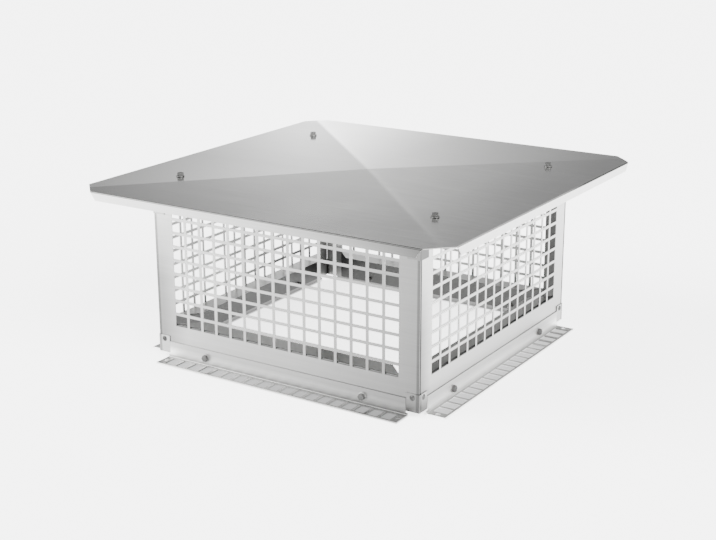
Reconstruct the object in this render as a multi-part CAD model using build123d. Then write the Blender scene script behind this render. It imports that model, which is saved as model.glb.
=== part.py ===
from build123d import *
import math
import os

# Chimney rain cap: a cross-broken lid on a square cage of four perforated screens.
# Millimetres, +Z up. The front faces -Y. The origin is the centre of the base, at the height
# of the surface that the feet stand on.

# Cage of four perforated screens
cage_width = 330.2
screen_height = 188.6
screen_thickness = 0.9
cage_lift = 5.5
bottom_band = 32.9
least_top_band = 20.0
least_side_margin = 23.0
corner_seam = 1.5

# Perforation
hole_width = 15.9
hole_height = 12.2
column_pitch = 19.05
row_pitch = 15.24

# Lid
lid_overhang = 58.9
lid_thickness = 0.9
lid_rise = 4.0
lid_corner_cut = 24.0
fascia_depth = 9.5
fascia_end_taper = 6.5
lid_fold_width = 2.5
lid_seat_gap = 0.3

# Rails under the lid, inside the left and right screens
rail_thickness = 0.9
rail_leg = 19.0
rail_width = 11.1
rail_end_gap = 20.0
rail_screw_margin = 18.1

# Ledge inside the bottom band, which rests on the rim of the flue tile
ledge_thickness = 0.9
ledge_width = 22.2
ledge_leg = 34.0
ledge_inset = 0.5
ledge_corner_gap = 21.0

# Angle feet outside the bottom band
foot_thickness = 1.2
foot_width = 22.2
foot_height = 19.05
foot_end_gap = 12.6
least_foot_margin = 8.0
foot_notch_step = 2.0
anchor_hole_diameter = 5.2

# Clips round the outside of the corners
clip_thickness = 0.9
clip_leg = 14.3
clip_gap = 0.4
bottom_clip_height = 19.5
top_clip_height = 31.6
clip_rivet_edge = 4.2

# Bends in all the folded sheet
bend_radius = 0.8

# Hex washer head screws
screw_diameter = 4.2
screw_length = 9.5
screw_point_length = 2.4
screw_hex = 6.35
screw_hex_height = 3.2
screw_washer_diameter = 8.8
screw_washer_height = 0.8
screw_fit = 0.15
lid_hole_clearance = 0.3
lid_screw_seat_gap = 0.2
foot_screw_spacing = 200.0
foot_screw_height = 10.0

# Blind rivets in the clips
rivet_diameter = 3.2
rivet_fit = 0.1
rivet_head_diameter = 6.2
rivet_head_height = 1.1
rivet_tail_height = 1.5

# Places that follow from the sizes above
cage_half = cage_width / 2
lid_width = cage_width + 2 * lid_overhang
cage_top = cage_lift + screen_height
screen_inner = cage_half - screen_thickness
side_screen_width = 2 * (screen_inner - corner_seam)
column_count = math.floor((cage_width - 2 * least_side_margin - hole_width) / column_pitch) + 1
row_count = math.floor((screen_height - bottom_band - least_top_band - hole_height) / row_pitch) + 1
first_row = cage_lift + bottom_band + hole_height / 2

lid_half = lid_width / 2
rise_half = lid_half - lid_fold_width
eave_under = cage_top + lid_seat_gap - lid_rise * (rise_half - cage_half) / rise_half
eave_top = eave_under + lid_thickness

ledge_top = cage_lift + ledge_inset + ledge_leg
ledge_outer_half = screen_inner - ledge_corner_gap
ledge_inner_half = ledge_outer_half - ledge_width

foot_length = cage_width - 2 * foot_end_gap
foot_leg_half = cage_half - clip_leg - clip_gap
foot_outer_edge = cage_half + foot_width
foot_hole_line = cage_half + (foot_thickness + foot_width) / 2
foot_hole_count = math.floor((foot_length - 2 * least_foot_margin - hole_height) / row_pitch) + 1
foot_hole_reach = (foot_hole_count - 1) * row_pitch / 2 + hole_height / 2
anchor_hole_place = (foot_hole_reach + foot_length / 2) / 2

rivet_place = cage_half - clip_leg / 2
bottom_rivet_height = cage_lift + bottom_clip_height - clip_rivet_edge

rail_length = cage_width - 2 * rail_end_gap
lid_screw_place = screen_inner - rail_width / 2
lid_screw_spacing = rail_length - 2 * rail_screw_margin
screw_hole_radius = screw_diameter / 2 + screw_fit
rivet_hole_radius = rivet_diameter / 2 + rivet_fit

# In the order of the quarter turns about Z that take a piece at the front, or at the front
# right corner, to each of them
sides = ["front", "right", "back", "left"]
corners = ["front_right", "back_right", "back_left", "front_left"]


def turned(shape, quarter_turns):
    return Rot(0, 0, 90 * quarter_turns) * shape


def hole_through_front(x, z, radius):
    """A cutter along Y, long enough for every sheet at the front face."""
    reach = 4 * (foot_thickness + screen_thickness + ledge_thickness)
    return Pos(x, -cage_half, z) * Rot(90, 0, 0) * Cylinder(radius, reach)


def front_screw_holes():
    half = foot_screw_spacing / 2
    return [hole_through_front(x, foot_screw_height, screw_hole_radius) for x in (-half, half)]


def front_rivet_holes():
    places = (-rivet_place, rivet_place)
    return [hole_through_front(x, bottom_rivet_height, rivet_hole_radius) for x in places]


def perforated_screen(width):
    """A flat sheet at the front, with its grid of rectangular holes."""
    middle = cage_lift + screen_height / 2
    face = Pos(0, middle) * Rectangle(width, screen_height)
    grid_middle = first_row + (row_count - 1) * row_pitch / 2
    grid = GridLocations(column_pitch, row_pitch, column_count, row_count)
    face -= [Pos(0, grid_middle) * cell * Rectangle(hole_width, hole_height) for cell in grid]
    outer_face = Plane(origin=(0, -cage_half, 0), x_dir=(1, 0, 0), z_dir=(0, -1, 0))
    sheet = extrude(outer_face * face, amount=-screen_thickness)
    return sheet - front_screw_holes() - front_rivet_holes()


def angle_profile(corner, toward_y, toward_z, leg_y, leg_z, thickness):
    """An L section in the YZ plane with a rounded bend. Its outer corner is at corner."""
    upright = Pos(toward_y * thickness / 2, toward_z * leg_z / 2) * Rectangle(thickness, leg_z)
    level = Pos(toward_y * leg_y / 2, toward_z * thickness / 2) * Rectangle(leg_y, thickness)
    section = upright + level
    heel = section.vertices().sort_by_distance((0, 0))[0]
    section = fillet(heel, bend_radius + thickness)
    throat = section.vertices().sort_by_distance((toward_y * thickness, toward_z * thickness))[0]
    section = fillet(throat, bend_radius)
    return Plane.YZ * Pos(*corner) * section


def angle(corner, toward_y, toward_z, leg_y, leg_z, thickness, length):
    """An angle strip along X, centred on X = 0."""
    profile = angle_profile(corner, toward_y, toward_z, leg_y, leg_z, thickness)
    return extrude(profile, amount=length / 2, both=True)


def front_foot():
    """Upright leg against the screen, flange outwards on the base, with its row of holes."""
    foot = angle((-cage_half, 0), -1, 1, foot_width, foot_height, foot_thickness, foot_length)
    flange_line = Pos(0, -foot_hole_line)
    row = GridLocations(row_pitch, 1, foot_hole_count, 1)
    holes = [flange_line * cell * Rectangle(hole_height, hole_width) for cell in row]
    anchor_hole = Circle(anchor_hole_diameter / 2)
    holes += [flange_line * Pos(x, 0) * anchor_hole for x in (-anchor_hole_place, anchor_hole_place)]
    foot -= [extrude(hole, amount=2 * foot_thickness) for hole in holes]
    notch_floor = foot_thickness + foot_notch_step
    notch = Box(foot_length, foot_width, foot_height, align=(Align.MIN, Align.CENTER, Align.MIN))
    foot -= Pos(foot_leg_half, -cage_half, notch_floor) * notch
    foot -= Pos(-foot_leg_half - foot_length, -cage_half, notch_floor) * notch
    return foot - front_screw_holes()


def front_ledge():
    """Upright leg inside the screen, ledge inwards at its top, ends mitred."""
    ledge = angle((-screen_inner, ledge_top), 1, -1, ledge_width, ledge_leg, ledge_thickness, cage_width)
    plan = Polygon(
        (-ledge_outer_half, -screen_inner),
        (ledge_outer_half, -screen_inner),
        (ledge_inner_half, -screen_inner + ledge_width),
        (-ledge_inner_half, -screen_inner + ledge_width),
        align=None,
    )
    ledge &= extrude(plan, amount=ledge_top)
    return ledge - front_screw_holes()


def front_rail():
    """The left and right rails, drawn at the front: a narrow shelf flush with the screen's top."""
    rail = angle((-screen_inner, cage_top), 1, -1, rail_width, rail_leg, rail_thickness, rail_length)
    half = lid_screw_spacing / 2
    for x in (-half, half):
        rail -= Pos(x, -lid_screw_place, cage_top) * Cylinder(screw_hole_radius, 4 * rail_thickness)
    return rail


def corner_clip(low, height):
    """An L-shaped clip round the outside of the front right corner, welded or riveted on."""
    end = cage_half - clip_leg
    outside = cage_half + clip_thickness
    outline = Polygon(
        (end, -outside),
        (outside, -outside),
        (outside, -end),
        (cage_half, -end),
        (cage_half, -cage_half),
        (end, -cage_half),
        align=None,
    )
    heel = outline.vertices().sort_by_distance((outside, -outside))[0]
    return Pos(0, 0, low) * extrude(fillet(heel, clip_thickness), amount=height)


def riveted_clip():
    """The clip at the foot of a corner, with a rivet hole in each leg."""
    clip = corner_clip(cage_lift, bottom_clip_height) - front_rivet_holes()
    return clip - [turned(cutter, 1) for cutter in front_rivet_holes()]


def lid_rise_solid(base_height):
    """The four shallow slopes of the cross-broken lid, as a solid pyramid."""
    base_width = lid_width - 2 * lid_fold_width
    base = Pos(0, 0, base_height) * Rectangle(base_width, base_width)
    return loft([base.face(), Vertex(0, 0, base_height + lid_rise)], ruled=True)


def front_fascia():
    """The lid's front edge, folded down, with tapered ends."""
    strip = angle((-lid_half, eave_top), 1, -1, lid_fold_width, fascia_depth, lid_thickness, lid_width)
    top_half = lid_half - lid_corner_cut
    bottom_half = top_half - fascia_end_taper
    bottom = eave_top - fascia_depth
    outline = Polygon(
        (-lid_half, eave_top),
        (-lid_half, eave_under),
        (-top_half, eave_under),
        (-bottom_half, bottom),
        (bottom_half, bottom),
        (top_half, eave_under),
        (lid_half, eave_under),
        (lid_half, eave_top),
        align=None,
    )
    outer_face = Plane(origin=(0, -lid_half, 0), x_dir=(1, 0, 0), z_dir=(0, -1, 0))
    return strip & extrude(outer_face * outline, amount=-lid_fold_width)


def lid_sheet():
    """The lid: cross-broken sheet, edges folded down, corners cut off, holes for its screws."""
    flat_width = lid_width - 2 * lid_fold_width
    slab = Pos(0, 0, (eave_under + eave_top) / 2) * Box(flat_width, flat_width, lid_thickness)
    sheet = slab + lid_rise_solid(eave_top) - lid_rise_solid(eave_under)
    for quarter in range(4):
        sheet += turned(front_fascia(), quarter)
    kept = lid_half - lid_corner_cut
    octagon = Polygon(
        (lid_half, kept), (kept, lid_half), (-kept, lid_half), (-lid_half, kept),
        (-lid_half, -kept), (-kept, -lid_half), (kept, -lid_half), (lid_half, -kept),
        align=None,
    )
    bottom = eave_top - fascia_depth
    sheet &= Pos(0, 0, bottom) * extrude(octagon, amount=fascia_depth + lid_rise)
    for x in (-lid_screw_place, lid_screw_place):
        for y in (-lid_screw_spacing / 2, lid_screw_spacing / 2):
            sheet -= Pos(x, y, eave_top) * Cylinder(screw_diameter / 2 + lid_hole_clearance, 4 * lid_rise)
    return sheet


def hex_washer_screw():
    """A screw standing head up, with the underside of its washer at the origin."""
    shank = screw_diameter / 2
    washer = screw_washer_diameter / 2
    profile = Polygon(
        (0, screw_washer_height),
        (washer, screw_washer_height),
        (washer, 0),
        (shank, 0),
        (shank, screw_point_length - screw_length),
        (0, -screw_length),
        align=None,
    )
    turned_part = revolve(Plane.XZ * profile, Axis.Z)
    head = extrude(RegularPolygon(screw_hex / 2, 6, major_radius=False), amount=screw_hex_height)
    return turned_part + Pos(0, 0, screw_washer_height) * head


def blind_rivet():
    """A rivet standing head up, with the underside of its head at the origin."""
    length = clip_thickness + screen_thickness + rivet_tail_height
    shank = rivet_diameter / 2
    head = rivet_head_diameter / 2
    profile = Polygon(
        (0, rivet_head_height),
        (shank, rivet_head_height),
        (head, 0),
        (shank, 0),
        (shank, -length),
        (0, -length),
        align=None,
    )
    return revolve(Plane.XZ * profile, Axis.Z)


def facing_front(shape, x, depth, z):
    """Lay a fastener on its side, with its head towards -Y."""
    return Pos(x, depth, z) * Rot(90, 0, 0) * shape


def front_foot_screws():
    half = foot_screw_spacing / 2
    seat = -cage_half - foot_thickness
    return [facing_front(hex_washer_screw(), x, seat, foot_screw_height) for x in (-half, half)]


def clip_rivets():
    seat = -cage_half - clip_thickness
    pair = [facing_front(blind_rivet(), x, seat, bottom_rivet_height) for x in (-rivet_place, rivet_place)]
    return [turned(rivet, quarter) for quarter in range(4) for rivet in pair]


def lid_screws():
    nearest = (rise_half - lid_screw_place + screw_washer_diameter / 2) / rise_half
    seat = eave_top + lid_rise * nearest + lid_screw_seat_gap
    half = lid_screw_spacing / 2
    places = [(x, y) for x in (-lid_screw_place, lid_screw_place) for y in (-half, half)]
    return [Pos(x, y, seat) * hex_washer_screw() for x, y in places]


parts = {"lid": lid_sheet(), "lid_screws": Compound(children=lid_screws())}

foot = front_foot()
ledge = front_ledge()
foot_screws = front_foot_screws()
for quarter, side in enumerate(sides):
    width = cage_width if side in ("front", "back") else side_screen_width
    parts[side + "_screen"] = turned(perforated_screen(width), quarter)
    parts[side + "_foot"] = turned(foot, quarter)
    parts[side + "_ledge"] = turned(ledge, quarter)
    parts[side + "_foot_screws"] = Compound(children=[turned(screw, quarter) for screw in foot_screws])

rail = front_rail()
for side in ("left", "right"):
    parts[side + "_lid_rail"] = turned(rail, sides.index(side))

bottom_clip = riveted_clip()
top_clip = corner_clip(cage_top - top_clip_height, top_clip_height)
for quarter, corner in enumerate(corners):
    parts[corner + "_bottom_clip"] = turned(bottom_clip, quarter)
    parts[corner + "_top_clip"] = turned(top_clip, quarter)
parts["bottom_clip_rivets"] = Compound(children=clip_rivets())

os.makedirs("parts", exist_ok=True)
for name, shape in parts.items():
    export_step(shape, f"parts/{name}.step")
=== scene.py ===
import math
import bpy
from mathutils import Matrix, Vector


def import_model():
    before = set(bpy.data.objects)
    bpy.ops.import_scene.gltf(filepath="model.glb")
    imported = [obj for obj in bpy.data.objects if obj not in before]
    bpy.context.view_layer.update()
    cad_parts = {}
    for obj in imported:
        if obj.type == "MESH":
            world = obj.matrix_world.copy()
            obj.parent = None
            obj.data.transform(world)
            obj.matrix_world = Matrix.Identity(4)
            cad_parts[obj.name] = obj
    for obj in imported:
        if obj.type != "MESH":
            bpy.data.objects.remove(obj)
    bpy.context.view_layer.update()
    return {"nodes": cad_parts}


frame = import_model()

# A stainless chimney rain cap on a white studio floor. Every piece is a CAD node; this script gives
# the steel its finish and its tones, which are painted light and shade, and sets the table, the
# light and the camera. Lengths and places are in metres and angles in degrees. -Y is the front and
# +X the right.

# The photograph's view: 716 by 540
camera_azimuth = 32.76
camera_elevation = 17.42
camera_roll = -0.19
camera_distance = 1.547
camera_target = Vector((-0.0118, 0.0, 0.0799))
camera_clip_end = 100.0
lens_mm = 68.9
sensor_mm = 36.0

# The studio: grey walls that rise to a paler ceiling, and a soft glow low down behind each corner
# and side of the cap, which the lid reflects. Each glow has a heading, turning from +Y towards
# +X, an elevation, a level and the angle over which it fades. The ceiling's start and full height
# are the upward part of a unit vector. Each softbox has a heading, an elevation, a strength and a
# softness.
white = (1.0, 1.0, 1.0, 1.0)
wall_level = 0.28
ceiling_level = 1.4
ceiling_start = 0.34
ceiling_full = 0.64
glows = ((35.0, 8.0, 9.0, 3.4), (0.0, 13.0, 3.0, 5.0), (90.0, 13.0, 3.0, 5.0))
softboxes = {"left_softbox": (-130.0, 30.0, 6.5, 45.0), "right_softbox": (110.0, 30.0, 7.5, 45.0)}
softbox_distance = 3.0

# The table glows from below, and has a painted shadow under the flanges of the feet. This shadow
# starts and ends at distances out from wall_line, the screens' outer faces, and stops at the
# flanges' ends. It is at contact_level, but in front it darkens towards the right, to
# contact_right.
floor_size = 60.0
floor_height = -0.0002
floor_roughness = 0.9
floor_albedo = 0.9
floor_glow = 3.0
wall_line = 0.165
wall_blur = 0.001
contact_start = (-0.002, 0.0)
contact_end = (0.019, 0.024)
contact_level = 0.2
contact_right = 0.07
flange_end = (0.148, 0.154)

# The brushing: how far noise is squeezed along each axis, the scale and detail of each noise, and
# the greys and the roughness that it brings
along_x = (6.0, 900.0, 900.0)
along_y = (900.0, 6.0, 900.0)
every_way = (300.0, 300.0, 300.0)
even = (1.0, 1.0, 1.0)
noise_range = (0.25, 0.75)
noise_roughness = 0.6
scratch_noise = (1.0, 4.0)
streak_noise = (0.2, 3.0)
cloud_noise = (9.0, 3.0)
scratch_grey = (0.88, 1.02)
streak_grey = (0.94, 1.02)
cloud_roughness = (-0.02, 0.03)
brush_depth = 0.00002
brush_strength = 0.35
warmth = 0.985

# Tones are painted light and shade: they multiply the steel's grey to stand in for shadows, shading
# and reflections. An edge is the pair of values between which something starts or ends, and a slope
# is such a pair and then the tone at each. The values are places along an axis, or how squarely a
# surface faces one way, from 0 to 1.
front_way = (0.0, -1.0, 0.0)
back_way = (0.0, 1.0, 0.0)
right_way = (1.0, 0.0, 0.0)
up_way = (0.0, 0.0, 1.0)
inward_edge = (-0.1, -0.05)

# Painted shade: what faces the front darkens over front_width, from the first of two tones to the
# second
front_width = (-0.2, 0.2)
front_tones = (0.98, 0.25)
lid_front_tones = (1.0, 0.12)
front_foot_tones = (0.98, 0.28)

# The lid's painted light and shade: its rounded folds, painted reflections on its four facets and a
# painted highlight on its near ridge, which the photograph shows a little to the right of the
# diagonal
fold_start = (0.05, 0.2)
fold_end = (0.96, 0.995)
fold_ahead = (0.02, 0.05)
painted_front_fold_shade = 0.18
side_fold_slope = (0.03, 0.08, 1.5, 0.3)
lid_top_edge = (0.99, 0.999)
behind_right_edge = (-0.002, 0.004)
front_right_edge = (-0.003, 0.003)
left_facet_slope = (-0.18, -0.03, 0.72, 0.33)
front_facet_slope = (-0.02, 0.07, 0.54, 0.72)
right_facet_slope = (0.13, 0.2, 0.94, 0.72)
back_facet_slope = (-0.13, 0.0, 1.65, 0.95)
ridge_offset = 0.005
ridge_highlight_slope = (0.0, 0.012, 1.12, 1.0)

# The screens' painted light and shade: lighter upwards, shade along the seams at the corners, the
# shadow under the lid, one end that is darker low down, and the inner faces, below and above the
# top of the ledges
seam_slope = (0.1612, 0.1624, 1.0, 0.5)
screen_slope = (0.03, 0.17, 0.92, 1.3)
lid_shadow_slope = (0.171, 0.174, 1.0, 0.68)
ledge_line = (0.0385, 0.0395)
painted_under_ledge_shade = 0.6
front_screen_end = (-0.125, -0.158)
right_screen_end = (-0.143, -0.161)
left_screen_end = (0.143, 0.161)
low_end_edge = (0.09, 0.16)
painted_low_end_shade = 0.5
painted_left_inside_shade = 0.55
back_corner_edge = (0.136, 0.140)
painted_back_corner_shade = 0.4

# The ledges' painted light and shade: on their level tops and on their upright legs
ledge_top_edge = (0.9, 1.0)
painted_ledge_leg_shade = 0.2
front_ledge_slope = (-0.06, 0.05, 1.0, 0.45)
right_ledge_slope = (-0.13, 0.13, 0.3, 1.7)
painted_far_ledge_light = 1.8

# The feet's painted light and shade: the flange, with painted shade on its top over its own tone,
# and painted light on the sides of its holes within the rim, then the leg from the fold up, with
# painted shade at the fold, a painted light strip above it and painted shade inside
flange_top_edge = (0.0013, 0.0015)
flange_rim_edge = (0.1867, 0.1870)
upright_edge = (0.1, 0.3)
painted_hole_side_light = 1.4
painted_flange_light = 1.85
painted_flange_top_shade = 0.42
foot_fold_edge = (0.0015, 0.005)
foot_fold_tone = 0.75
front_foot_fold_tone = 0.4
foot_strip_edge = (0.007, 0.014)
foot_strip_tone = 2.0
front_foot_strip_tone = 2.35
foot_leg_tone = 1.05
foot_top_slope = (0.014, 0.019, 1.0, 0.88)
painted_foot_inside_shade = 0.2

# The screws, rivets and top clips, with painted light and shade. middle_edge parts the four lid
# screws along X and along Y.
lid_washer_slope = (0.1965, 0.1966, 2.0, 1.0)
middle_edge = (-0.02, 0.02)
painted_near_screw_light = 1.25
painted_far_screw_lights = (2.6, 1.6)
foot_washer_slope = (0.16715, 0.16725, 4.0, 1.0)
painted_rivet_front_shade = 0.4
painted_clip_side_shade = 0.22


def set_inputs(tree, made, inputs):
    """Give each socket its number or vector, or link a node's output to it."""
    for name, value in inputs.items():
        if isinstance(value, bpy.types.NodeSocket):
            tree.links.new(value, made.inputs[name])
        else:
            made.inputs[name].default_value = value


def node(tree, kind, inputs, **settings):
    made = tree.nodes.new(kind)
    for name, value in settings.items():
        setattr(made, name, value)
    set_inputs(tree, made, inputs)
    return made


def coordinates(tree, kind):
    return node(tree, "ShaderNodeTexCoord", {}).outputs[kind]


def calculate(tree, operation, *values):
    made = node(tree, "ShaderNodeMath", dict(enumerate(values)), operation=operation)
    return made.outputs["Value"]


def multiply(tree, product, *others):
    for other in others:
        product = calculate(tree, "MULTIPLY", product, other)
    return product


def dot(tree, first, second):
    made = node(tree, "ShaderNodeVectorMath", {0: first, 1: second}, operation="DOT_PRODUCT")
    return made.outputs["Value"]


def part_along(tree, vector, axis):
    return node(tree, "ShaderNodeSeparateXYZ", {"Vector": vector}).outputs[axis]


def ramp(tree, value, start, end, at_start, at_end):
    """Straight line from at_start to at_end while value goes from start to end, level beyond."""
    limits = {"From Min": start, "From Max": end, "To Min": at_start, "To Max": at_end}
    return node(tree, "ShaderNodeMapRange", {"Value": value, **limits}).outputs["Result"]


def past(tree, value, edge):
    """0 before the edge and 1 past it."""
    return ramp(tree, value, *edge, 0.0, 1.0)


def before(tree, value, edge):
    """1 before the edge and 0 past it."""
    return ramp(tree, value, *edge, 1.0, 0.0)


def mix(tree, mask, low, high):
    """low where the mask is 0 and high where it is 1."""
    return ramp(tree, mask, 0.0, 1.0, low, high)


def where(tree, mask, tone):
    """The tone where the mask is 1, and no change where it is 0."""
    return mix(tree, mask, 1.0, tone)


def place_along(tree, axis):
    """The surface's place along X, Y or Z."""
    return part_along(tree, coordinates(tree, "Object"), axis)


def reach(tree, choice):
    """The MAXIMUM or MINIMUM of the surface's distances from the middle along X and Y."""
    distances = [calculate(tree, "ABSOLUTE", place_along(tree, axis)) for axis in "XY"]
    return calculate(tree, choice, *distances)


def facing(tree, way):
    """1 where the surface faces the given way, falling to 0 where it is side on."""
    return past(tree, dot(tree, coordinates(tree, "Normal"), way), (0.0, 1.0))


def inward(tree):
    """1 on the upright faces that look towards the middle of the cap, and 0 elsewhere."""
    outward = dot(tree, coordinates(tree, "Object"), coordinates(tree, "Normal"))
    return before(tree, outward, inward_edge)


def across_front(tree, left, right):
    """From the left tone to the right one along the cap's front, for painted shade."""
    return ramp(tree, place_along(tree, "X"), *front_width, left, right)


def front_shade(tree, left, right):
    """Painted shade: the steel that faces the front darkens from left to right."""
    return where(tree, facing(tree, front_way), across_front(tree, left, right))


def fold_shade(tree):
    """Painted shade on the lid's rounded folds, darkest along the front and back; along the sides,
    painted light over the front part turns to painted shade towards the back.
    """
    up = facing(tree, up_way)
    fold = calculate(tree, "MINIMUM", past(tree, up, fold_start), before(tree, up, fold_end))
    ahead = calculate(tree, "MAXIMUM", facing(tree, front_way), facing(tree, back_way))
    along_side = ramp(tree, place_along(tree, "Y"), *side_fold_slope)
    return where(tree, fold, mix(tree, past(tree, ahead, fold_ahead), along_side, painted_front_fold_shade))


def facet_shade(tree):
    """Painted reflections: the four facets of the lid differ a little in tone, and a painted
    highlight runs along its near ridge.
    """
    x, y = place_along(tree, "X"), place_along(tree, "Y")
    across = calculate(tree, "ADD", x, y)
    behind_right = past(tree, across, behind_right_edge)
    front_right = past(tree, calculate(tree, "SUBTRACT", x, y), front_right_edge)
    left = ramp(tree, y, *left_facet_slope)
    front = ramp(tree, x, *front_facet_slope)
    right = ramp(tree, x, *right_facet_slope)
    back = multiply(tree, ramp(tree, x, *back_facet_slope), right)
    near = mix(tree, front_right, left, front)
    far = mix(tree, front_right, back, right)
    from_ridge = calculate(tree, "ABSOLUTE", calculate(tree, "SUBTRACT", across, ridge_offset))
    return multiply(tree, mix(tree, behind_right, near, far), ramp(tree, from_ridge, *ridge_highlight_slope))


def lid_shade(tree):
    """Painted light and shade on the facets on top, and on the folds and turned-down edges around
    them.
    """
    top = past(tree, facing(tree, up_way), lid_top_edge)
    edges = multiply(tree, fold_shade(tree), front_shade(tree, *lid_front_tones))
    return multiply(tree, edges, where(tree, top, facet_shade(tree)))


def screen_shade(tree):
    """Painted light and shade: lighter upwards, with dark seams and a painted shadow under the lid
    and inside below the ledges.
    """
    height = place_along(tree, "Z")
    rising = ramp(tree, height, *screen_slope)
    lid_shadow = ramp(tree, height, *lid_shadow_slope)
    under_ledge = multiply(tree, inward(tree), before(tree, height, ledge_line))
    low = where(tree, under_ledge, painted_under_ledge_shade)
    seams = ramp(tree, reach(tree, "MINIMUM"), *seam_slope)
    return multiply(tree, rising, lid_shadow, low, seams, front_shade(tree, *front_tones))


def end_shade(axis, end):
    """As the other screens, but one end has painted shade low down."""
    def shade(tree):
        near_end = past(tree, place_along(tree, axis), end)
        low = before(tree, place_along(tree, "Z"), low_end_edge)
        dark = where(tree, multiply(tree, near_end, low), painted_low_end_shade)
        return multiply(tree, screen_shade(tree), dark)
    return shade


def inside_above_ledge(tree):
    """1 on the screens' inner faces above the ledges, and 0 elsewhere."""
    return multiply(tree, inward(tree), past(tree, place_along(tree, "Z"), ledge_line))


def left_screen_shade(tree):
    """As the other screens, with one end darker low down, and painted shade inside."""
    inside = where(tree, inside_above_ledge(tree), painted_left_inside_shade)
    return multiply(tree, end_shade("Y", left_screen_end)(tree), inside)


def back_screen_shade(tree):
    """As the other screens, but with painted shade inside along the corner behind the right screen.
    """
    near_right = past(tree, place_along(tree, "X"), back_corner_edge)
    corner = multiply(tree, inside_above_ledge(tree), near_right)
    return multiply(tree, screen_shade(tree), where(tree, corner, painted_back_corner_shade))


def ledge_shade(tree, top_tone):
    """The level top has a painted tone of light or shade; the upright leg has painted shade for the
    shade under it.
    """
    top = past(tree, facing(tree, up_way), ledge_top_edge)
    return mix(tree, top, painted_ledge_leg_shade, top_tone)


# Painted shade on the front ledge's top, darker towards the right
def front_ledge_shade(tree):
    return ledge_shade(tree, ramp(tree, place_along(tree, "X"), *front_ledge_slope))


# Painted shade on the right ledge's top at the front, turning to painted light towards the back
def right_ledge_shade(tree):
    return ledge_shade(tree, ramp(tree, place_along(tree, "Y"), *right_ledge_slope))


# Painted light on the far ledges' tops
def far_ledge_shade(tree):
    return ledge_shade(tree, painted_far_ledge_light)


def foot_shade(tree, fold_tone=foot_fold_tone, strip_tone=foot_strip_tone):
    """Painted light and shade: the flange is darker than the leg and the sides of its holes are
    lighter than both; the leg has a painted light strip just above the fold and painted shade on
    the inside."""
    height, up = place_along(tree, "Z"), facing(tree, up_way)
    flange = before(tree, height, flange_top_edge)
    within_rim = before(tree, reach(tree, "MAXIMUM"), flange_rim_edge)
    hole_sides = multiply(tree, flange, within_rim, before(tree, up, upright_edge))
    holes = where(tree, hole_sides, painted_hole_side_light)
    flange_top = where(tree, multiply(tree, flange, up), painted_flange_top_shade)
    fold = ramp(tree, height, *foot_fold_edge, fold_tone, 1.0)
    strip = ramp(tree, height, *foot_strip_edge, strip_tone, foot_leg_tone)
    leg = multiply(tree, fold, strip, ramp(tree, height, *foot_top_slope))
    leg_or_flange = mix(tree, flange, leg, painted_flange_light)
    inside = where(tree, inward(tree), painted_foot_inside_shade)
    return multiply(tree, leg_or_flange, flange_top, inside, holes)


def front_foot_shade(tree):
    """As the other feet, but with more painted shade along the fold and to the right."""
    foot = foot_shade(tree, front_foot_fold_tone, front_foot_strip_tone)
    return multiply(tree, foot, across_front(tree, *front_foot_tones))


def lid_screw_shade(tree):
    """The washers are lighter than the hexagons, and painted light makes the far screws lighter
    than the near ones.
    """
    washer = ramp(tree, place_along(tree, "Z"), *lid_washer_slope)
    behind = past(tree, place_along(tree, "Y"), middle_edge)
    far_tone = ramp(tree, place_along(tree, "X"), *middle_edge, *painted_far_screw_lights)
    return multiply(tree, washer, mix(tree, behind, painted_near_screw_light, far_tone))


def foot_screw_shade(tree):
    """The washers are as light as the feet, and the hexagons are darker."""
    return ramp(tree, reach(tree, "MAXIMUM"), *foot_washer_slope)


# Painted shade on the rivets' faces that look to the front
def rivet_shade(tree):
    return where(tree, facing(tree, front_way), painted_rivet_front_shade)


# Painted shade on the clips' right-facing sides, and across the front as on the screens
def top_clip_shade(tree):
    side = where(tree, facing(tree, right_way), painted_clip_side_shade)
    return multiply(tree, side, front_shade(tree, *front_tones))


def stretched_noise(tree, place, stretch, scale, detail):
    """Noise drawn out along the directions where stretch is small."""
    mapping = node(tree, "ShaderNodeMapping", {"Vector": place, "Scale": stretch})
    noise = node(tree, "ShaderNodeTexNoise", {
        "Vector": mapping.outputs["Vector"], "Scale": scale, "Detail": detail,
        "Roughness": noise_roughness})
    return noise.outputs["Fac"]


def span(tree, noise, low, high):
    """Map a noise onto low to high."""
    return ramp(tree, noise, *noise_range, low, high)


def new_material(name):
    """A material, its nodes and its shader."""
    material = bpy.data.materials.new(name)
    material.use_nodes = True
    return material, material.node_tree, material.node_tree.nodes["Principled BSDF"]


def brushed_steel(name, grain, level, rough, shade):
    """Brushed stainless. grain is small along the brushing and large across it; level and rough are
    the darkest and lightest grey, and the smoothest and roughest finish. shade gives the painted
    light and shade, or is None."""
    material, tree, shader = new_material(name + "_steel")
    place = coordinates(tree, "Object")
    scratches = stretched_noise(tree, place, grain, *scratch_noise)
    streaks = stretched_noise(tree, place, grain, *streak_noise)
    clouds = stretched_noise(tree, place, even, *cloud_noise)

    grey = multiply(
        tree, span(tree, clouds, *level), span(tree, scratches, *scratch_grey),
        span(tree, streaks, *streak_grey))
    if shade:
        grey = multiply(tree, grey, shade(tree))
    tint = node(tree, "ShaderNodeCombineColor", {
        "Red": grey, "Green": grey, "Blue": multiply(tree, grey, warmth)})
    bump = node(tree, "ShaderNodeBump", {
        "Height": scratches, "Strength": brush_strength, "Distance": brush_depth})
    rough_scratches = span(tree, scratches, *rough)
    rough_clouds = span(tree, clouds, *cloud_roughness)
    set_inputs(tree, shader, {
        "Metallic": 1.0,
        "Base Color": tint.outputs["Color"],
        "Roughness": calculate(tree, "ADD", rough_scratches, rough_clouds),
        "Normal": bump.outputs["Normal"]})
    return material


def ending(tail):
    """The names of the nodes that end with tail."""
    return [name for name in frame["nodes"] if name.endswith(tail)]


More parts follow.
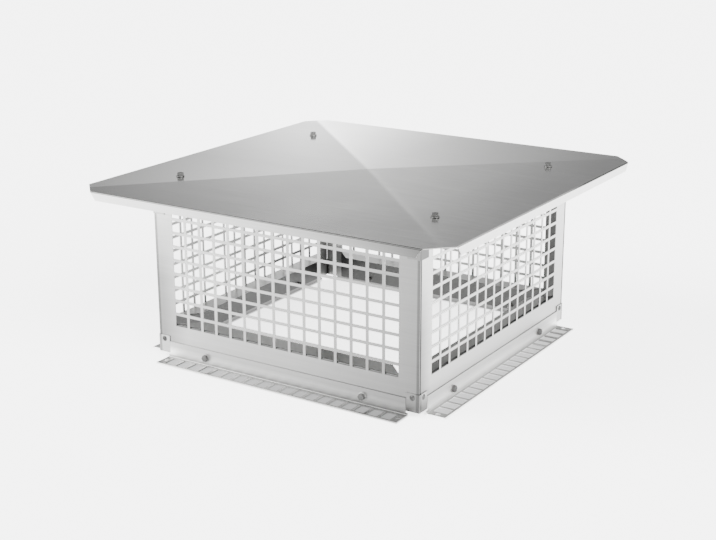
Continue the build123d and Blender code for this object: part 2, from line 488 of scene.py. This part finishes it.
def dress(names, material):
    for name in names:
        piece = frame["nodes"][name]
        piece.data.materials.clear()
        piece.data.materials.append(material)


def direction(heading, elevation):
    """Unit vector. Heading 0 points along +Y and 90 along +X."""
    turn, rise = math.radians(heading), math.radians(elevation)
    level = math.cos(rise)
    return Vector((math.sin(turn) * level, math.cos(turn) * level, math.sin(rise)))


def white_floor():
    """A lit white table, with a painted shadow under the flanges of the feet."""
    bpy.ops.mesh.primitive_plane_add(size=floor_size, location=(0.0, 0.0, floor_height))
    floor = bpy.context.object
    floor.name = "studio_floor"
    material, tree, shader = new_material("floor_white")
    from_wall = calculate(tree, "SUBTRACT", reach(tree, "MAXIMUM"), wall_line)
    outside, inside = past(tree, from_wall, contact_end), before(tree, from_wall, contact_start)
    past_end = past(tree, reach(tree, "MINIMUM"), flange_end)
    open_table = calculate(tree, "MAXIMUM", calculate(tree, "MAXIMUM", outside, inside), past_end)
    in_front = past(tree, place_along(tree, "Y"), (-wall_line, -wall_line - wall_blur))
    x = place_along(tree, "X")
    front_level = ramp(tree, x, -wall_line, wall_line, contact_level, contact_right)
    shaded = mix(tree, in_front, contact_level, front_level)
    light = mix(tree, open_table, shaded, 1.0)
    albedo = multiply(tree, light, floor_albedo)
    tint = node(tree, "ShaderNodeCombineColor", {"Red": albedo, "Green": albedo, "Blue": albedo})
    set_inputs(tree, shader, {
        "Roughness": floor_roughness,
        "Base Color": tint.outputs["Color"],
        "Emission Color": white,
        "Emission Strength": multiply(tree, light, floor_glow)})
    floor.data.materials.append(material)


def studio_walls():
    """Grey walls with soft glows, mirrored about X and Y."""
    world = bpy.data.worlds.new("studio_walls")
    bpy.context.scene.world = world
    world.use_nodes = True
    tree = world.node_tree
    view = coordinates(tree, "Generated")
    folded = node(tree, "ShaderNodeVectorMath", {0: view}, operation="ABSOLUTE").outputs["Vector"]
    upward = part_along(tree, folded, "Z")
    total = ramp(tree, upward, ceiling_start, ceiling_full, wall_level, ceiling_level)
    for heading, elevation, level, fade in glows:
        angle = calculate(tree, "ARCCOSINE", dot(tree, folded, direction(heading, elevation)))
        fading = calculate(tree, "EXPONENT", multiply(tree, angle, -1.0 / math.radians(fade)))
        total = calculate(tree, "ADD", multiply(tree, fading, level), total)
    set_inputs(tree, tree.nodes["Background"], {"Color": white, "Strength": total})


def softbox(name, heading, elevation, strength, softness):
    """A broad soft light from far away, so that the whole floor is evenly lit."""
    lamp = bpy.data.lights.new(name, "SUN")
    lamp.energy = strength
    lamp.angle = math.radians(softness)
    light = bpy.data.objects.new(name, lamp)
    bpy.context.collection.objects.link(light)
    light.location = softbox_distance * direction(heading, elevation)
    light.rotation_euler = direction(heading, elevation).to_track_quat("Z", "Y").to_euler()


def photograph_camera():
    """It stands back from its target along one direction, faces it and is rolled a little."""
    back = direction(180.0 - camera_azimuth, camera_elevation)
    camera = bpy.data.objects.new("camera", bpy.data.cameras.new("camera"))
    bpy.context.collection.objects.link(camera)
    camera.location = camera_target + camera_distance * back
    level = back.to_track_quat("Z", "Y").to_matrix().to_4x4()
    roll = level @ level.Rotation(math.radians(camera_roll), 4, "Z")
    camera.rotation_euler = roll.to_euler()
    camera.data.sensor_width = sensor_mm
    camera.data.lens = lens_mm
    camera.data.clip_end = camera_clip_end
    bpy.context.scene.camera = camera


front_end = end_shade("X", front_screen_end)
right_end = end_shade("Y", right_screen_end)

# The nodes, then the steel's name, brushing, darkest and lightest grey, smoothest and roughest
# finish, and tones of painted light and shade
# The one stainless gets a different grey on different pieces as painted light and shade: darkest on
# the ledges, darker on the front and back screens than on the side ones, and lighter on the side
# and back feet than on the front one
steels = (
    (["lid"], "lid", along_x, (0.59, 0.64), (0.12, 0.19), lid_shade),
    (["front_screen"], "front_screen", along_x, (0.37, 0.43), (0.28, 0.38), front_end),
    (["back_screen"], "back_screen", along_x, (0.37, 0.43), (0.28, 0.38), back_screen_shade),
    (["right_screen"], "right_screen", along_y, (0.40, 0.46), (0.28, 0.38), right_end),
    (["left_screen"], "left_screen", along_y, (0.40, 0.46), (0.28, 0.38), left_screen_shade),
    (["front_foot"], "front_foot", along_x, (0.37, 0.43), (0.32, 0.42), front_foot_shade),
    (["back_foot"], "back_foot", along_x, (0.44, 0.50), (0.36, 0.46), foot_shade),
    (["right_foot", "left_foot"], "side_foot", along_y, (0.48, 0.54), (0.44, 0.54), foot_shade),
    (ending("_lid_rail"), "rail", along_y, (0.40, 0.46), (0.36, 0.46), None),
    (["front_ledge"], "front_ledge", along_x, (0.24, 0.30), (0.26, 0.34), front_ledge_shade),
    (["right_ledge"], "right_ledge", along_x, (0.24, 0.30), (0.26, 0.34), right_ledge_shade),
    (["back_ledge"], "back_ledge", along_x, (0.24, 0.30), (0.26, 0.34), far_ledge_shade),
    (["left_ledge"], "left_ledge", along_x, (0.24, 0.30), (0.26, 0.34), far_ledge_shade),
    (ending("_bottom_clip"), "bottom_clip", along_x, (0.37, 0.43), (0.28, 0.38), screen_shade),
    (ending("_top_clip"), "top_clip", along_x, (0.37, 0.43), (0.28, 0.38), top_clip_shade),
    (["lid_screws"], "lid_screw", every_way, (0.05, 0.08), (0.40, 0.55), lid_screw_shade),
    (ending("_foot_screws"), "foot_screw", every_way, (0.09, 0.13), (0.42, 0.55), foot_screw_shade),
    (["bottom_clip_rivets"], "rivet", every_way, (0.10, 0.14), (0.40, 0.52), rivet_shade),
)

for names, *finish in steels:
    dress(names, brushed_steel(*finish))
white_floor()
studio_walls()
for name, settings in softboxes.items():
    softbox(name, *settings)
photograph_camera()
